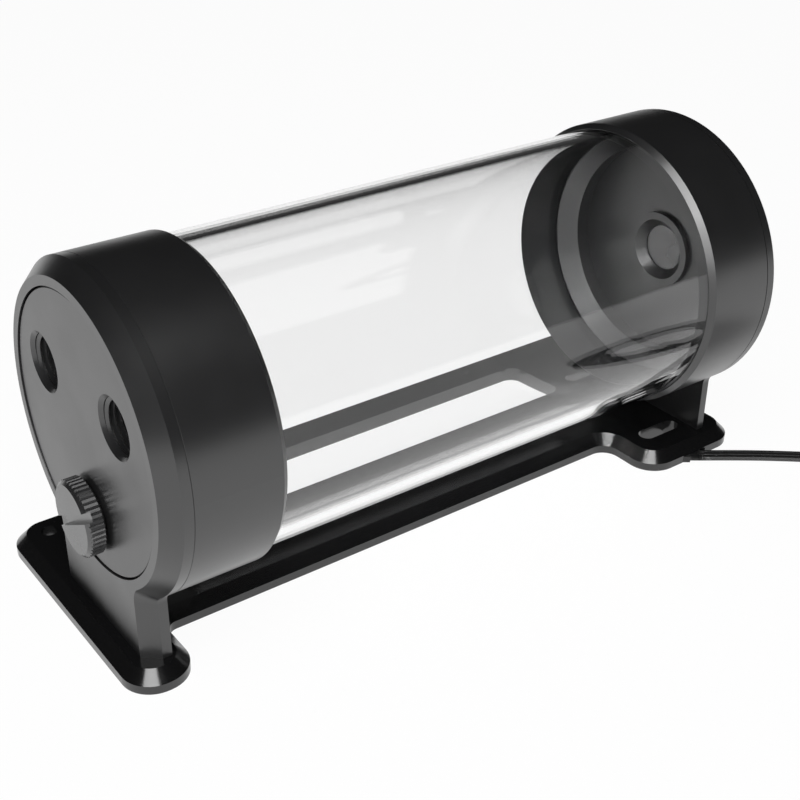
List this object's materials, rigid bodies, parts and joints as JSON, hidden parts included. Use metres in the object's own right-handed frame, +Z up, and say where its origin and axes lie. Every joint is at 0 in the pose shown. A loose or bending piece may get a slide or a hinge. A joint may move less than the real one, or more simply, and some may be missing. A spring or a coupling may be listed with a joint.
{
  "type": "water cooling reservoir",
  "caption": "Tube reservoir lying on an open base plate: clear tube, black end caps with threaded ports, two ring brackets, fill plug and light cable.",
  "frame": {"origin": "on the floor, at the middle of the object's box without its cable", "axes": "+Y along the tube, from the end with the filling ports to the other end; +Z up; +X to the right seen from the ports' end"},
  "size_m": [0.1703, 0.2434, 0.0953],
  "materials": {
    "black_metal": "satin bead-blasted black anodised",
    "bracket_metal": "satin bead-blasted black anodised",
    "base_metal": "semi-gloss black anodised",
    "plug_metal": "satin black anodised, knurled",
    "clear_tube": "clear polished",
    "seal_rubber": "matte black",
    "screw_steel": "blackened steel",
    "board": "black solder mask",
    "diode": "white package with a clear lens",
    "diffuser": "milky translucent",
    "solder": "bright solder",
    "cable_sheath": "satin black",
    "tie": "black woven",
    "connector_plastic": "matte black moulded"
  },
  "bodies": {
    "reservoir": {"base_plate": "base_metal", "front_bracket": "bracket_metal", "rear_bracket": "bracket_metal", "front_bracket_screws": "screw_steel", "rear_bracket_screws": "screw_steel", "front_cap": "black_metal", "rear_cap": "black_metal", "tube": "clear_tube", "front_tube_seal": "seal_rubber", "rear_tube_seal": "seal_rubber", "light_board": "board", "light_diodes": "diode", "light_diffuser": "diffuser", "wire_joints": "solder", "cable_inner_run": "cable_sheath", "cable_grommet": "seal_rubber", "cable_lead": "cable_sheath", "cable_coil": "cable_sheath", "cable_end": "cable_sheath", "cable_tie": "tie", "cable_connector": "connector_plastic"},
    "fill_plug_ring": {"fill_plug_seal": "seal_rubber"},
    "fill_plug_knob": {"fill_plug": "plug_metal"},
    "rear_plug_ring": {"rear_plug_seal": "seal_rubber"},
    "rear_plug_knob": {"rear_plug": "plug_metal"}
  },
  "joints": [
    {"name": "fill_plug_slide", "type": "slide", "parent": "reservoir", "child": "fill_plug_ring", "axis": [0, -1, 0], "range_m": [0, 0.00602]},
    {"name": "fill_plug_turn", "type": "hinge", "parent": "fill_plug_ring", "child": "fill_plug_knob", "pos_m": [0.00415, -0.09375, 0.0345], "axis": [0, -1, 0], "range_deg": [0, 1620]},
    {"name": "rear_plug_slide", "type": "slide", "parent": "reservoir", "child": "rear_plug_ring", "axis": [0, 1, 0], "range_m": [0, 0.00602]},
    {"name": "rear_plug_turn", "type": "hinge", "parent": "rear_plug_ring", "child": "rear_plug_knob", "pos_m": [0.00415, 0.09315, 0.0553], "axis": [0, 1, 0], "range_deg": [0, 1620]}
  ],
  "couplings": [
    {"joint": "fill_plug_turn", "follows": "fill_plug_slide", "rad_per_m": 4699.5},
    {"joint": "rear_plug_turn", "follows": "rear_plug_slide", "rad_per_m": 4699.5}
  ]
}
